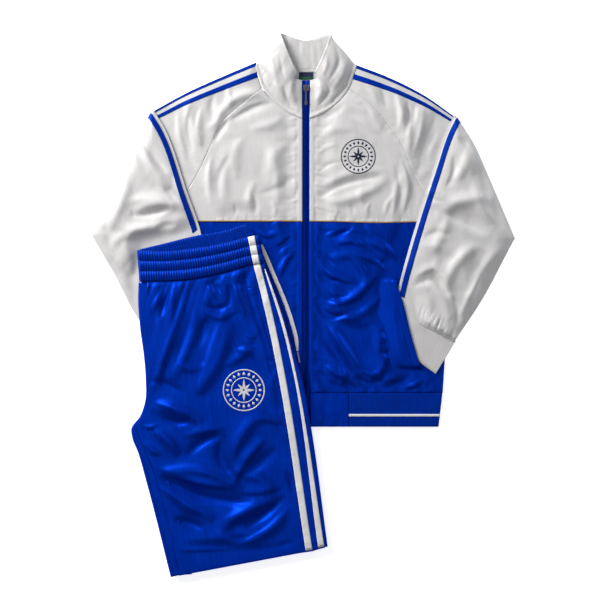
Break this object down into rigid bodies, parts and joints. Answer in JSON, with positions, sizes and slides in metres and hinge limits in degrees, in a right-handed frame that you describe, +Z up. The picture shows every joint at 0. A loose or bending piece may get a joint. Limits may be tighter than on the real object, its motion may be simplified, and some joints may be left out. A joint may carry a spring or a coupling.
{
  "type": "tracksuit",
  "caption": "Two-piece tracksuit laid flat: zipped jacket with raglan sleeves folded in, and folded trousers with a ribbed waistband over its lower corner.",
  "frame": {"origin": "on the floor under the jacket's lower back panel, about its middle, at the rest mount", "axes": "+X towards the wearer's left, +Y towards the collar, +Z up from the floor"},
  "size_m": [0.8516, 1.0842, 0.0302],
  "materials": {
    "white_tricot": "satin warp knit",
    "blue_tricot": "satin warp knit",
    "blue_rib": "rib knit",
    "white_rib": "rib knit",
    "blue_tape": "sewn-on knit tape",
    "white_tape": "sewn-on knit tape",
    "gold_piping": "folded piping",
    "woven_label": "woven",
    "zip_tape": "woven tape",
    "zip_coil": "moulded",
    "zip_metal": "dark plated",
    "drawstring": "flat braid",
    "aglet": "crimped film"
  },
  "bodies": {
    "set": {"collar": "white_tricot", "cuff_left": "white_rib", "cuff_right": "white_rib", "drawstring": "drawstring", "drawstring_aglet": "aglet", "front_lower_left": "blue_tricot", "front_lower_right": "blue_tricot", "front_upper_left": "white_tricot", "front_upper_right": "white_tricot", "hem_back": "blue_rib", "hem_placket_left": "blue_tricot", "hem_placket_right": "blue_tricot", "hem_rib_left": "blue_rib", "hem_rib_right": "blue_rib", "hem_stripe_left": "white_tape", "hem_stripe_right": "white_tape", "jacket_back_lower": "blue_tricot", "jacket_back_upper": "white_tricot", "neck_label": "woven_label", "piping_left": "gold_piping", "piping_right": "gold_piping", "pocket_welt_left": "blue_tricot", "sleeve_left_back": "white_tricot", "sleeve_left_front": "white_tricot", "sleeve_left_stripe_arm": "blue_tape", "sleeve_left_stripe_shoulder": "blue_tape", "sleeve_left_stripe_shoulder_edge": "blue_tape", "sleeve_right_back": "white_tricot", "sleeve_right_front": "white_tricot", "sleeve_right_stripe_arm": "blue_tape", "sleeve_right_stripe_shoulder": "blue_tape", "sleeve_right_stripe_shoulder_edge": "blue_tape", "trouser_leg_front": "blue_tricot", "trouser_leg_under": "blue_tricot", "trouser_pocket_welt": "blue_tricot", "trouser_stripe_band": "white_tape", "trouser_stripe_one": "white_tape", "trouser_stripe_two": "white_tape", "trouser_waistband_back": "blue_rib", "trouser_waistband_front": "blue_rib", "trousers_folded_layers": "blue_tricot", "zip_coil": "zip_coil", "zip_end_box": "zip_metal", "zip_slider": "zip_metal", "zip_tape_left": "zip_tape", "zip_tape_right": "zip_tape"},
    "pull": {"zip_pull": "zip_metal"}
  },
  "joints": [
    {"name": "pull_hinge", "type": "hinge", "parent": "set", "child": "pull", "pos_m": [0.004, 0.435, 0.00905], "axis": [-1, 0, 0], "range_deg": [0, 150]}
  ]
}
